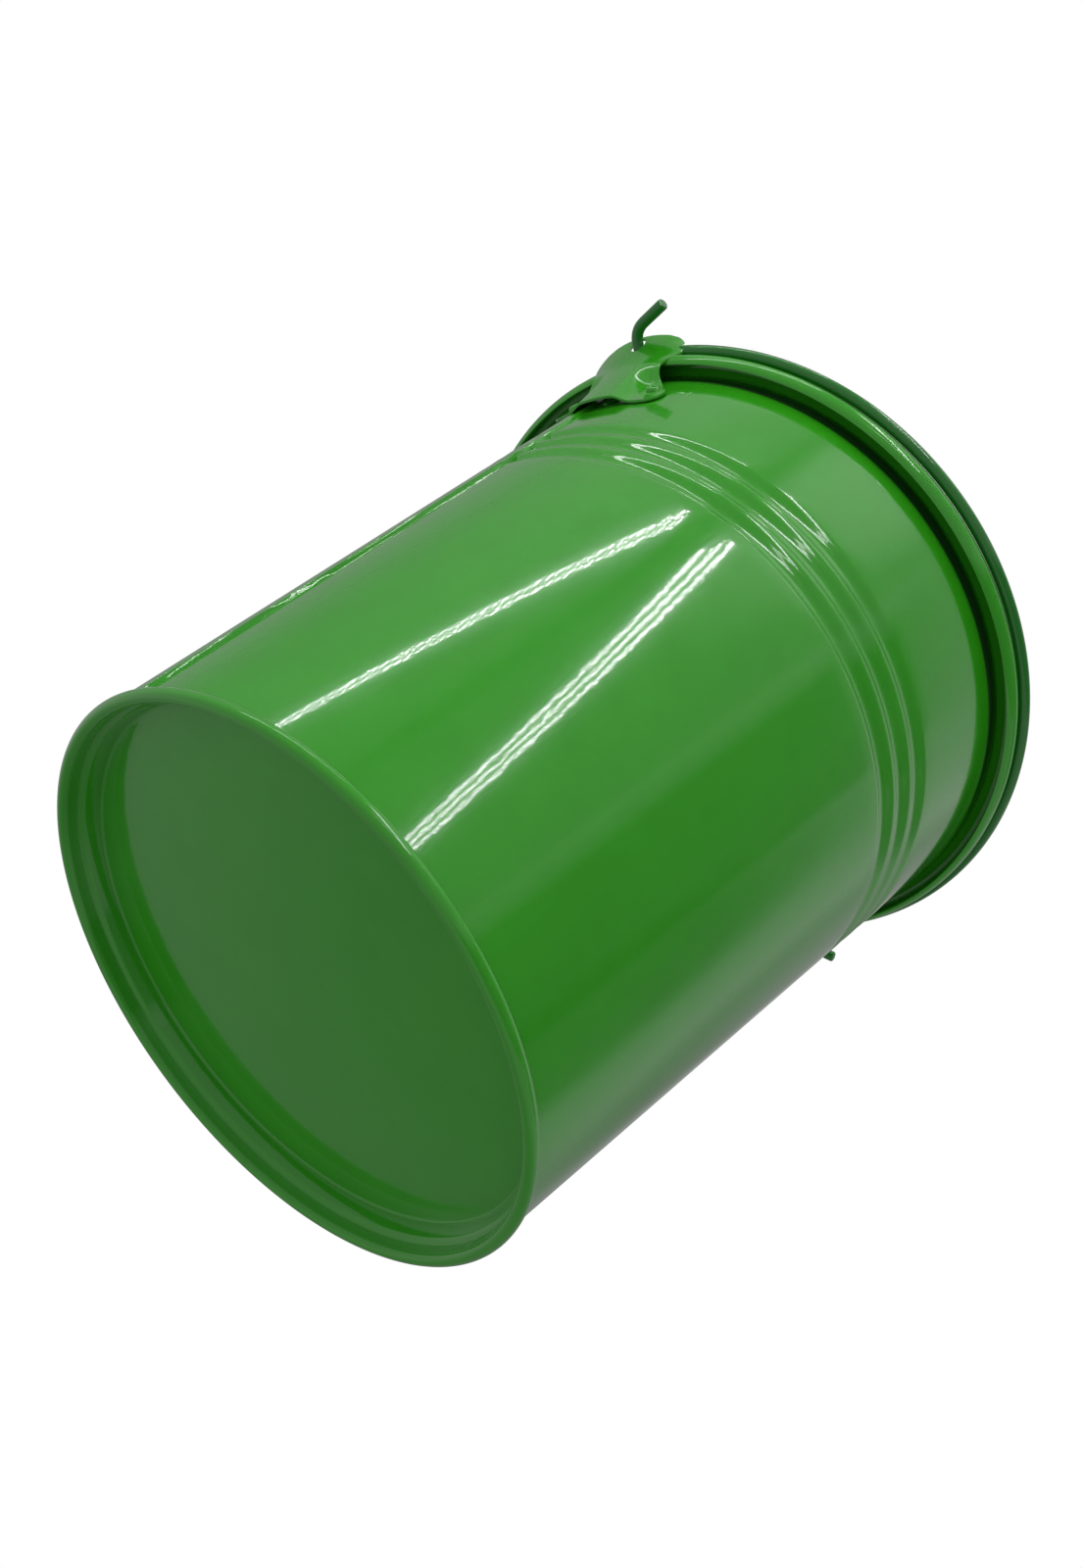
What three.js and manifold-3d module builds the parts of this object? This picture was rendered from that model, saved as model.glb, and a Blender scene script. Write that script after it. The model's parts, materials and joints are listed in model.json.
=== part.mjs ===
// Small tapered sheet-steel flower bucket with a folding wire handle.
// Millimetres, +Z up. The origin is the centre of the bottom, on the plane the bucket stands on.
// The handle turns on the X axis direction through the two ears and lies towards -Y at rest.

import * as THREE from 'three';
import { mergeVertices } from 'three/addons/utils/BufferGeometryUtils.js';
import Module from 'manifold-3d';

// ---- Driving dimensions ----

const SHEET = 0.5;                  // painted sheet steel
const FIT_GAP = 0.3;                // clearance between pieces that touch
const ROUND_STEPS = 60;             // facets round the bucket

const CHIME_RADIUS = 50;            // outside of the bottom seam
const CHIME_WIDTH = 2.4;            // bottom seam, across the wall
const CHIME_HEIGHT = 2.4;           // bottom seam, up the wall
const CHIME_FLAT = 1;               // flat ring that the bucket stands on
const CHIME_STAND_OFF = 1.17;       // seam outside the foot of the wall
const RECESS_DEPTH = 6.1;           // underside of the bottom panel above the floor
const PANEL_CORNER = 1;             // bend between panel and seam

const WALL_TAPER = 0.1258;          // radius gained per millimetre of height
const CURL_CENTRE_HEIGHT = 132.8;   // middle of the rolled mouth
const CURL_RADIUS = 2.5;            // outside of the rolled mouth
const CURL_LIP_ANGLE = 67;          // degrees the roll goes on below level

const GROOVE_COUNT = 3;
const GROOVE_PITCH = 5.85;
const GROOVE_WIDTH = 5.85;          // edge to edge
const GROOVE_DEPTH = 0.76;
const GROOVE_BELOW_MOUTH = 31.1;    // top groove below the middle of the rolled mouth

const SEAM_WIDTH = 3.2;             // lock seam up the side
const SEAM_HEIGHT = 0.9;
const SEAM_PAST_EAR = 5.535;        // middle of the seam past the middle of the left ear, round the wall
const SEAM_TOP_CLEARANCE = 5;       // top of the seam below the lip of the roll

const WIRE_RADIUS = 1.25;
const WIRE_SIDES = 10;
const WIRE_BEND = 2.5;              // centre-line bend of the wire
const PIVOT_ABOVE_CURL = 3;         // handle axis above the middle of the rolled mouth
const HOOK_REACH = 5.7;             // end bend of the handle outside its bow
const HOOK_LENGTH = 9.5;
const HOOK_SPLAY = 23;              // degrees the hook leans outwards

const EAR_FOOT_BELOW_CURL = 16.8;   // lower edge of the ear
const EAR_CREASE_BELOW_CURL = 2.8;  // where the ear bends out
const EAR_HEAD_ABOVE_PIVOT = 2.2;   // top edge above the handle axis
const EAR_FLARE = 29;               // degrees the head leans outwards
const EAR_ARCH = 1.8;               // gap behind the middle of the foot edge
const EAR_CURVE_OFFSET = 28;        // axis of the ear's own curve, out from the bucket axis
const EAR_FOOT_HALF = 13.8;
const EAR_FOOT_CORNER = 4;          // rounding of the lower corners
const EAR_WAIST_HALF = 9;
const EAR_HEAD_HALF = 11.8;
const FOOT_INNER_HALF = 8.3;        // inner side of each foot
const FOOT_HEIGHT = 9;
const HOLE_CLEARANCE = 0.55;        // round the wire in the ear
const EAR_CURL_GAP = 0.325;         // between the leaning head and the rolled mouth
const EAR_WIRE_GAP = 0.923;         // between the leaning head and the bow of the handle, at its level

const RIVET_SHANK = 0.9;
const RIVET_HEAD = 1.6;
const RIVET_HEAD_HEIGHT = 0.8;
const RIVET_OUT = 10.3;             // rivet from the middle of the ear
const RIVET_UP = 6.3;               // rivet above the lower edge of the ear

// ---- Sizes that follow ----

const RAD = Math.PI / 180;
const MERGE_DISTANCE = 1e-4;
const taperAngle = Math.atan(WALL_TAPER);
const wallRadius = (z) => CHIME_RADIUS - CHIME_STAND_OFF + WALL_TAPER * z;

const curlStartAngle = Math.PI - taperAngle;
const curlStartHeight = CURL_CENTRE_HEIGHT + CURL_RADIUS * Math.sin(curlStartAngle);
const curlCentreRadius = wallRadius(curlStartHeight) - SHEET + CURL_RADIUS * Math.cos(taperAngle);

const pivotHeight = CURL_CENTRE_HEIGHT + PIVOT_ABOVE_CURL;
const wireStandOff = CURL_RADIUS + WIRE_RADIUS + FIT_GAP;
const bowRadius = curlCentreRadius + Math.sqrt(wireStandOff ** 2 - PIVOT_ABOVE_CURL ** 2);
const hookCorner = bowRadius + HOOK_REACH;

const earFootHeight = CURL_CENTRE_HEIGHT - EAR_FOOT_BELOW_CURL;
const earCreaseHeight = CURL_CENTRE_HEIGHT - EAR_CREASE_BELOW_CURL;
const earHeadHeight = pivotHeight + EAR_HEAD_ABOVE_PIVOT;
const rivetHeight = earFootHeight + RIVET_UP;

// ---- Solids ----

const wasm = await Module();
wasm.setup();

function faceOut(geometry) {
  const at = geometry.attributes.position;
  const index = geometry.index.array;
  const [a, b, c] = [new THREE.Vector3(), new THREE.Vector3(), new THREE.Vector3()];
  let volume = 0;
  for (let i = 0; i < index.length; i += 3) {
    a.fromBufferAttribute(at, index[i]);
    b.fromBufferAttribute(at, index[i + 1]);
    c.fromBufferAttribute(at, index[i + 2]);
    volume += a.dot(b.cross(c));
  }
  if (volume < 0) {
    for (let i = 0; i < index.length; i += 3) {
      [index[i + 1], index[i + 2]] = [index[i + 2], index[i + 1]];
    }
  }
  return geometry;
}

function merged(geometry) {
  geometry.deleteAttribute('normal');
  geometry.deleteAttribute('uv');
  return faceOut(mergeVertices(geometry, MERGE_DISTANCE));
}

function toSolid(geometry) {
  const clean = merged(geometry);
  const mesh = new wasm.Mesh({
    numProp: 3,
    vertProperties: new Float32Array(clean.attributes.position.array),
    triVerts: new Uint32Array(clean.index.array),
  });
  return new wasm.Manifold(mesh);
}

function toGeometry(solid) {
  const mesh = solid.getMesh();
  const geometry = new THREE.BufferGeometry();
  geometry.setAttribute('position', new THREE.BufferAttribute(mesh.vertProperties, 3));
  geometry.setIndex(new THREE.BufferAttribute(mesh.triVerts, 1));
  geometry.computeVertexNormals();
  return geometry;
}

// A closed outline of (radius, height) points, turned round the Z axis.
function turned(points, steps = ROUND_STEPS) {
  const outline = [...points, points[0].clone()];
  return new THREE.LatheGeometry(outline, steps).rotateX(Math.PI / 2);
}

// A lathe outline that begins and ends on the Z axis.
function turnedOnAxis(points, steps) {
  return new THREE.LatheGeometry(points, steps).rotateX(Math.PI / 2);
}

function arcPoints(centreR, centreZ, radius, from, to, steps) {
  const points = [];
  for (let i = 0; i <= steps; i++) {
    const angle = from + (to - from) * i / steps;
    points.push(new THREE.Vector2(centreR + radius * Math.cos(angle), centreZ + radius * Math.sin(angle)));
  }
  return points;
}

// A flat outline in Y and Z, extruded outwards along X between two distances from the axis.
function sidePrism(shape, near, far) {
  const geometry = new THREE.ExtrudeGeometry(shape, { depth: far - near, bevelEnabled: false, curveSegments: 6 });
  const yAndZ = new THREE.Matrix4().makeBasis(
    new THREE.Vector3(0, 1, 0), new THREE.Vector3(0, 0, 1), new THREE.Vector3(1, 0, 0));
  return geometry.applyMatrix4(yAndZ).translate(near, 0, 0);
}

// ---- Body shell: tapered wall, grooves, lock seam and rolled mouth ----

function grooveDip(z) {
  let dip = 0;
  for (let i = 0; i < GROOVE_COUNT; i++) {
    const middle = CURL_CENTRE_HEIGHT - GROOVE_BELOW_MOUTH - i * GROOVE_PITCH;
    const share = Math.abs(z - middle) / (GROOVE_WIDTH / 2);
    if (share < 1) {
      dip = Math.max(dip, GROOVE_DEPTH * (1 + Math.cos(Math.PI * share)) / 2);
    }
  }
  return dip;
}

function wallHeights() {
  const heights = [SHEET + 2 * FIT_GAP];
  const stepsInGroove = 4;
  for (let i = GROOVE_COUNT - 1; i >= 0; i--) {
    const middle = CURL_CENTRE_HEIGHT - GROOVE_BELOW_MOUTH - i * GROOVE_PITCH;
    for (let k = 0; k <= stepsInGroove; k++) {
      heights.push(middle + GROOVE_WIDTH * (k / stepsInGroove - 0.5));
    }
  }
  heights.sort((a, b) => a - b);
  return heights.filter((z, i) => i === 0 || z - heights[i - 1] > MERGE_DISTANCE);
}

function bodyShellProfile() {
  const lip = -CURL_LIP_ANGLE * RAD;
  const curlSteps = 9;
  const outside = wallHeights().map((z) => new THREE.Vector2(wallRadius(z) - grooveDip(z), z));
  const under = arcPoints(curlCentreRadius, CURL_CENTRE_HEIGHT, CURL_RADIUS - SHEET, curlStartAngle, lip, curlSteps);
  const over = arcPoints(curlCentreRadius, CURL_CENTRE_HEIGHT, CURL_RADIUS, lip, curlStartAngle, curlSteps);
  const inside = outside.map((p) => new THREE.Vector2(p.x - SHEET, p.y)).reverse();
  return [...outside, ...under, ...over, ...inside];
}

// The lock seam is a flat strip that leans with the wall and keeps to its outside.
function seamStrip() {
  const lipHeight = CURL_CENTRE_HEIGHT - CURL_RADIUS * Math.sin(CURL_LIP_ANGLE * RAD);
  const bottom = CHIME_HEIGHT + FIT_GAP;
  const top = lipHeight - SEAM_TOP_CLEARANCE;
  const depth = SEAM_HEIGHT + SHEET / 2;
  const length = (top - bottom) / Math.cos(taperAngle);
  const middle = (top + bottom) / 2;
  const strip = new THREE.BoxGeometry(depth, SEAM_WIDTH, length);
  strip.rotateY(taperAngle);
  strip.translate(wallRadius(middle) + SEAM_HEIGHT - depth / 2, 0, middle);
  strip.rotateZ(Math.PI - SEAM_PAST_EAR / wallRadius(earFootHeight));
  return toSolid(strip);
}

function bodyShell() {
  let shell = toSolid(turned(bodyShellProfile())).add(seamStrip());
  for (const place of rivetPlaces()) {
    shell = shell.subtract(rivetBore(place));
  }
  return toGeometry(shell);
}

// ---- Bottom: recessed panel, turned down and folded up round the foot of the wall ----

function baseDiscProfile() {
  const outerBend = (CHIME_WIDTH - CHIME_FLAT) / 2;
  const innerBend = outerBend - SHEET;
  const panelFace = CHIME_RADIUS - CHIME_WIDTH;
  const panelTop = RECESS_DEPTH + SHEET;
  const cornerR = panelFace - PANEL_CORNER;
  const cornerZ = RECESS_DEPTH - PANEL_CORNER;
  const bendSteps = 3;
  const legInside = CHIME_RADIUS - SHEET;
  const bend = (radius, from, to) => {
    const centre = Math.min(from, to) < 1.5 * Math.PI ? panelFace + outerBend : CHIME_RADIUS - outerBend;
    return arcPoints(centre, outerBend, radius, from, to, bendSteps);
  };
  return [
    new THREE.Vector2(0, RECESS_DEPTH),
    ...arcPoints(cornerR, cornerZ, PANEL_CORNER, Math.PI / 2, 0, bendSteps),
    ...bend(outerBend, Math.PI, 1.5 * Math.PI),
    ...bend(outerBend, 1.5 * Math.PI, 2 * Math.PI),
    new THREE.Vector2(CHIME_RADIUS, CHIME_HEIGHT - SHEET / 2),
    new THREE.Vector2(CHIME_RADIUS - SHEET / 4, CHIME_HEIGHT),
    new THREE.Vector2(legInside + SHEET / 4, CHIME_HEIGHT),
    new THREE.Vector2(legInside, CHIME_HEIGHT - 2 * SHEET),
    ...bend(innerBend, 2 * Math.PI, 1.5 * Math.PI),
    ...bend(innerBend, 1.5 * Math.PI, Math.PI),
    ...arcPoints(cornerR, cornerZ, PANEL_CORNER + SHEET, 0, Math.PI / 2, bendSteps),
    new THREE.Vector2(0, panelTop),
  ];
}

function baseDisc() {
  return merged(turnedOnAxis(baseDiscProfile(), ROUND_STEPS));
}

// ---- Ears: curved plates that stand on two feet and lean out round the handle wire ----

function earFaceProfile() {
  const lean = EAR_FLARE * RAD;
  const flareThickness = SHEET / Math.cos(lean);
  const foot = wallRadius(earFootHeight) + EAR_ARCH + SHEET;
  const clearOfCurl = curlCentreRadius
    + (CURL_RADIUS + EAR_CURL_GAP - EAR_CREASE_BELOW_CURL * Math.sin(lean)) / Math.cos(lean);
  const clearOfWire = bowRadius + WIRE_RADIUS + EAR_WIRE_GAP - (pivotHeight - earCreaseHeight) * Math.tan(lean);
  const crease = Math.max(clearOfCurl, clearOfWire) + flareThickness - EAR_CURVE_OFFSET;
  const head = crease + (earHeadHeight - earCreaseHeight) * Math.tan(lean);
  const face = foot - EAR_CURVE_OFFSET;
  return [
    new THREE.Vector2(face, earFootHeight),
    new THREE.Vector2(crease, earCreaseHeight),
    new THREE.Vector2(head, earHeadHeight),
    new THREE.Vector2(head - flareThickness, earHeadHeight),
    new THREE.Vector2(crease - flareThickness, earCreaseHeight),
    new THREE.Vector2(face - SHEET, earFootHeight),
  ];
}

// The outline seen from the side of the bucket, with Y across and Z up.
function earOutline() {
  const corner = 2;
  const low = earFootHeight;
  const waist = earCreaseHeight - 1;
  const footTop = low + FOOT_HEIGHT - corner;
  const shape = new THREE.Shape();
  shape.moveTo(-EAR_FOOT_HALF + EAR_FOOT_CORNER, low);
  shape.lineTo(EAR_FOOT_HALF - EAR_FOOT_CORNER, low);
  shape.quadraticCurveTo(EAR_FOOT_HALF, low, EAR_FOOT_HALF, low + EAR_FOOT_CORNER);
  shape.lineTo(EAR_FOOT_HALF - 1, footTop);
  shape.quadraticCurveTo(EAR_WAIST_HALF, footTop + corner, EAR_WAIST_HALF, waist);
  shape.quadraticCurveTo(EAR_WAIST_HALF, waist + 2 * corner, EAR_HEAD_HALF, earHeadHeight - 2 * corner);
  shape.quadraticCurveTo(EAR_HEAD_HALF, earHeadHeight - corner / 2, EAR_HEAD_HALF - 2 * corner, earHeadHeight);
  shape.lineTo(-EAR_HEAD_HALF + 2 * corner, earHeadHeight);
  shape.quadraticCurveTo(-EAR_HEAD_HALF, earHeadHeight - corner / 2, -EAR_HEAD_HALF, earHeadHeight - 2 * corner);
  shape.quadraticCurveTo(-EAR_WAIST_HALF, waist + 2 * corner, -EAR_WAIST_HALF, waist);
  shape.quadraticCurveTo(-EAR_WAIST_HALF, footTop + corner, -EAR_FOOT_HALF + 1, footTop);
  shape.lineTo(-EAR_FOOT_HALF, low + EAR_FOOT_CORNER);
  shape.quadraticCurveTo(-EAR_FOOT_HALF, low, -EAR_FOOT_HALF + EAR_FOOT_CORNER, low);
  return shape;
}

// Everything nearer the bucket axis than the wall plus a distance, over the height of an ear.
function wallCore(distance) {
  const low = earFootHeight - FIT_GAP;
  const high = earCreaseHeight;
  return toSolid(turnedOnAxis([
    new THREE.Vector2(0, low),
    new THREE.Vector2(wallRadius(low) + distance, low),
    new THREE.Vector2(wallRadius(high) + distance, high),
    new THREE.Vector2(0, high),
  ], ROUND_STEPS));
}

// Everything behind the outer face of an ear, up to the crease.
function faceCore() {
  const [foot, crease] = earFaceProfile();
  const core = toSolid(turnedOnAxis([
    new THREE.Vector2(0, foot.y),
    foot,
    crease,
    new THREE.Vector2(0, crease.y),
  ], ROUND_STEPS));
  return core.translate([EAR_CURVE_OFFSET, 0, 0]);
}

// A rectangle in Y and Z over one foot, from its inner side outwards, extruded along X.
function footPrism(side, inner, low, high) {
  const start = side * inner;
  const end = side * (EAR_FOOT_HALF + SHEET);
  const shape = new THREE.Shape();
  shape.moveTo(start, low);
  shape.lineTo(end, low);
  shape.lineTo(end, high);
  shape.lineTo(start, high);
  shape.closePath();
  return toSolid(sidePrism(shape, wallRadius(earFootHeight) - EAR_FOOT_HALF, hookCorner));
}

// A foot is a pad on the wall, joined to the face by a pressed step round its inner and upper sides.
function withFoot(ear, side) {
  const low = earFootHeight;
  const high = earFootHeight + FOOT_HEIGHT;
  const block = footPrism(side, FOOT_INNER_HALF - SHEET, low, high).intersect(faceCore());
  const pocket = footPrism(side, FOOT_INNER_HALF, low - FIT_GAP, high - SHEET);
  return ear.add(block).subtract(pocket.subtract(wallCore(FIT_GAP + SHEET)));
}

// An ear on the +X side of the bucket.
function earSolid() {
  const outline = toSolid(sidePrism(earOutline(), wallRadius(earFootHeight) - EAR_FOOT_HALF, hookCorner));
  let solid = toSolid(turned(earFaceProfile()).translate(EAR_CURVE_OFFSET, 0, 0));
  solid = withFoot(withFoot(solid, 1), -1);
  const boreRadius = WIRE_RADIUS + HOLE_CLEARANCE;
  const hole = new THREE.CylinderGeometry(boreRadius, boreRadius, hookCorner, 20);
  hole.rotateZ(Math.PI / 2).translate(hookCorner, 0, pivotHeight);
  return solid.subtract(wallCore(FIT_GAP)).intersect(outline).subtract(toSolid(hole));
}

function ear(side) {
  let solid = earSolid();
  for (const place of rivetPlaces().filter((p) => p.side > 0)) {
    solid = solid.subtract(rivetBore(place));
  }
  const geometry = toGeometry(solid);
  return side > 0 ? geometry : geometry.rotateZ(Math.PI);
}

// ---- Rivets: one through each foot of each ear ----

function rivetPlaces() {
  const places = [];
  for (const side of [-1, 1]) {
    for (const end of [-1, 1]) {
      const angle = Math.asin(RIVET_OUT / wallRadius(rivetHeight));
      places.push({ side, end, turn: (side > 0 ? 0 : Math.PI) + side * end * angle });
    }
  }
  return places;
}

// Puts a piece that is made along +X, with the wall's outside at zero, on the wall at a rivet.
function atRivet(geometry, place) {
  geometry.rotateY(taperAngle);
  geometry.translate(wallRadius(rivetHeight), 0, rivetHeight);
  return geometry.rotateZ(place.turn);
}

function rivetBore(place) {
  const bore = RIVET_SHANK + FIT_GAP;
  const reach = 4 * RIVET_HEAD_HEIGHT;
  const geometry = new THREE.CylinderGeometry(bore, bore, 2 * reach, 12).rotateZ(Math.PI / 2);
  return toSolid(atRivet(geometry, place));
}

function rivet(place) {
  const headFace = FIT_GAP + SHEET + FIT_GAP;
  const tailFace = -SHEET - FIT_GAP;
  const crown = 0.55;
  const profile = [
    new THREE.Vector2(0, tailFace - RIVET_HEAD_HEIGHT),
    new THREE.Vector2(RIVET_HEAD * crown, tailFace - RIVET_HEAD_HEIGHT),
    new THREE.Vector2(RIVET_HEAD, tailFace - RIVET_HEAD_HEIGHT / 3),
    new THREE.Vector2(RIVET_HEAD, tailFace),
    new THREE.Vector2(RIVET_SHANK, tailFace),
    new THREE.Vector2(RIVET_SHANK, headFace),
    new THREE.Vector2(RIVET_HEAD, headFace),
    new THREE.Vector2(RIVET_HEAD, headFace + RIVET_HEAD_HEIGHT / 3),
    new THREE.Vector2(RIVET_HEAD * crown, headFace + RIVET_HEAD_HEIGHT),
    new THREE.Vector2(0, headFace + RIVET_HEAD_HEIGHT),
  ];
  const geometry = new THREE.LatheGeometry(profile, 12).rotateZ(-Math.PI / 2);
  return merged(atRivet(geometry, place));
}

// ---- Handle: one wire, a bow with a hook at each end ----

// A path made of parts, each with its own number of steps.
class WirePath extends THREE.Curve {
  constructor(parts) {
    super();
    this.parts = parts;
    this.steps = parts.reduce((sum, part) => sum + part.steps, 0);
  }

  getPoint(t) {
    let place = t * this.steps;
    for (const part of this.parts) {
      if (place <= part.steps || part === this.parts.at(-1)) {
        return part.at(Math.min(place / part.steps, 1));
      }
      place -= part.steps;
    }
    return this.parts[0].at(0);
  }

  getUtoTmapping(u) {
    return u;
  }
}

function bowPoint(angle) {
  return new THREE.Vector3(-bowRadius * Math.cos(angle), -bowRadius * Math.sin(angle), pivotHeight);
}

function hookParts(side) {
  const corner = new THREE.Vector3(side * hookCorner, 0, pivotHeight);
  const splay = HOOK_SPLAY * RAD;
  const out = new THREE.Vector3(side * Math.sin(splay), -Math.cos(splay), 0);
  const inwards = new THREE.Vector3(-side, 0, 0);
  const tip = corner.clone().addScaledVector(out, HOOK_LENGTH);
  const beforeBend = corner.clone().addScaledVector(out, WIRE_BEND);
  const afterBend = corner.clone().addScaledVector(inwards, WIRE_BEND);
  const legCorner = new THREE.Vector3(side * bowRadius, 0, pivotHeight);
  const runEnd = legCorner.clone().addScaledVector(inwards, -WIRE_BEND);
  const legAngle = Math.asin(WIRE_BEND / bowRadius);
  const legStart = bowPoint(side < 0 ? legAngle : Math.PI - legAngle);
  return [
    new THREE.LineCurve3(tip, beforeBend),
    new THREE.QuadraticBezierCurve3(beforeBend, corner, afterBend),
    new THREE.LineCurve3(afterBend, runEnd),
    new THREE.QuadraticBezierCurve3(runEnd, legCorner, legStart),
  ];
}

function handlePath() {
  const bendSteps = 5;
  const bowSteps = 56;
  const stepsOf = (curve) => (curve.isLineCurve3 ? 1 : bendSteps);
  const legAngle = Math.asin(WIRE_BEND / bowRadius);
  const left = hookParts(-1).map((curve) => ({ steps: stepsOf(curve), at: (t) => curve.getPoint(t) }));
  const right = hookParts(1).reverse().map((curve) => ({ steps: stepsOf(curve), at: (t) => curve.getPoint(1 - t) }));
  const bow = { steps: bowSteps, at: (t) => bowPoint(legAngle + (Math.PI - 2 * legAngle) * t) };
  return new WirePath([...left, bow, ...right]);
}

function bailHandle() {
  const path = handlePath();
  const section = new THREE.Shape();
  for (let i = 0; i < WIRE_SIDES; i++) {
    const angle = 2 * Math.PI * i / WIRE_SIDES;
    const [x, y] = [WIRE_RADIUS * Math.cos(angle), WIRE_RADIUS * Math.sin(angle)];
    if (i === 0) {
      section.moveTo(x, y);
    } else {
      section.lineTo(x, y);
    }
  }
  section.closePath();
  return merged(new THREE.ExtrudeGeometry(section, { steps: path.steps, extrudePath: path }));
}

// ---- Assembly ----

const GREEN = 0x3c9430;
const SHADED_GREEN = 0x2f6d28;
const DARK_GREEN = 0x1f5a1c;

function piece(name, geometry, color, roughness) {
  const material = new THREE.MeshStandardMaterial({ color, roughness, metalness: 0 });
  const mesh = new THREE.Mesh(geometry, material);
  mesh.name = name;
  return mesh;
}

const bucket = new THREE.Group();
bucket.add(piece('body_shell', bodyShell(), GREEN, 0.22));
bucket.add(piece('base_disc', baseDisc(), SHADED_GREEN, 0.3));
bucket.add(piece('ear_left', ear(-1), GREEN, 0.25));
bucket.add(piece('ear_right', ear(1), GREEN, 0.25));
for (const place of rivetPlaces()) {
  const earName = place.side < 0 ? 'left' : 'right';
  const end = place.end * place.side < 0 ? 'front' : 'back';
  bucket.add(piece(`rivet_${earName}_${end}`, rivet(place), GREEN, 0.25));
}
bucket.add(piece('bail_handle', bailHandle(), DARK_GREEN, 0.3));

export default bucket;
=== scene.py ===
"""A small glossy green flower bucket with a folding wire handle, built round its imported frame."""
import json
import math

import bmesh
import bpy
from mathutils import Matrix, Vector


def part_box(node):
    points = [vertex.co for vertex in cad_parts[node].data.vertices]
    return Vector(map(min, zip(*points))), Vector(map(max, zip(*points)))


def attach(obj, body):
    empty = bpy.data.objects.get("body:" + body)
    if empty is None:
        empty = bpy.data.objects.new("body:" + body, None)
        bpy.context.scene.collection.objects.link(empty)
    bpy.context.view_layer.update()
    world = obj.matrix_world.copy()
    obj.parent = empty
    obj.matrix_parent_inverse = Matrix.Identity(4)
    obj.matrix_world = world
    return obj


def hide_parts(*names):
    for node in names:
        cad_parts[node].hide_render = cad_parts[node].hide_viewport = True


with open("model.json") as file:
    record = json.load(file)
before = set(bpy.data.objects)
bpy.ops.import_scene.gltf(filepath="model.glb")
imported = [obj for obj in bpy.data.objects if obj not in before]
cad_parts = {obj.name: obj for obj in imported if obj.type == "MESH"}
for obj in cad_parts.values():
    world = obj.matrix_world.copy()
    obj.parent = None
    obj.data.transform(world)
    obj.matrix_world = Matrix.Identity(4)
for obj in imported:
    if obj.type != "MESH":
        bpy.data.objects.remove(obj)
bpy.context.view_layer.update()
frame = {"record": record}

bl_info = {
    "name": "Flower Bucket",
    "version": (1, 0, 0),
    "blender": (4, 5, 0),
    "location": "View3D > Sidebar > Bucket",
    "description": "Builds an enamelled sheet-steel flower bucket and its studio",
    "category": "Add Mesh",
}

MM = 0.001
CAD_SHEET = 0.5 * MM
CAD_GAP = 0.3 * MM

# ---- Sizes read from the frame ----

_, SHELL_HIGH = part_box("body_shell")
_, BASE_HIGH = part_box("base_disc")
WIRE_LOW, WIRE_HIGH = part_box("bail_handle")
EAR_LOW, EAR_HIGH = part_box("ear_right")
HINGE = frame["record"]["behaviour"]["joints"][0]

MOUTH_RADIUS = min(SHELL_HIGH[0], SHELL_HIGH[1])
MOUTH_TOP = SHELL_HIGH[2]
CHIME_RADIUS = BASE_HIGH[0]
WIRE_RADIUS = (WIRE_HIGH[2] - WIRE_LOW[2]) / 2
PIVOT_HEIGHT = HINGE["pos_m"][2]
EAR_FOOT_HEIGHT = EAR_LOW[2]
EAR_HEAD_HEIGHT = EAR_HIGH[2]
EAR_HALF_WIDTH = EAR_HIGH[1]

# ---- Colours ----


def linear(hex_colour):
    """An sRGB hex colour as linear red, green, blue and alpha."""
    channels = [int(hex_colour[i:i + 2], 16) / 255 for i in (1, 3, 5)]
    return [c / 12.92 if c <= 0.04045 else ((c + 0.055) / 1.055) ** 2.4 for c in channels] + [1.0]


# ---- Settings that a user would change ----


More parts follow.
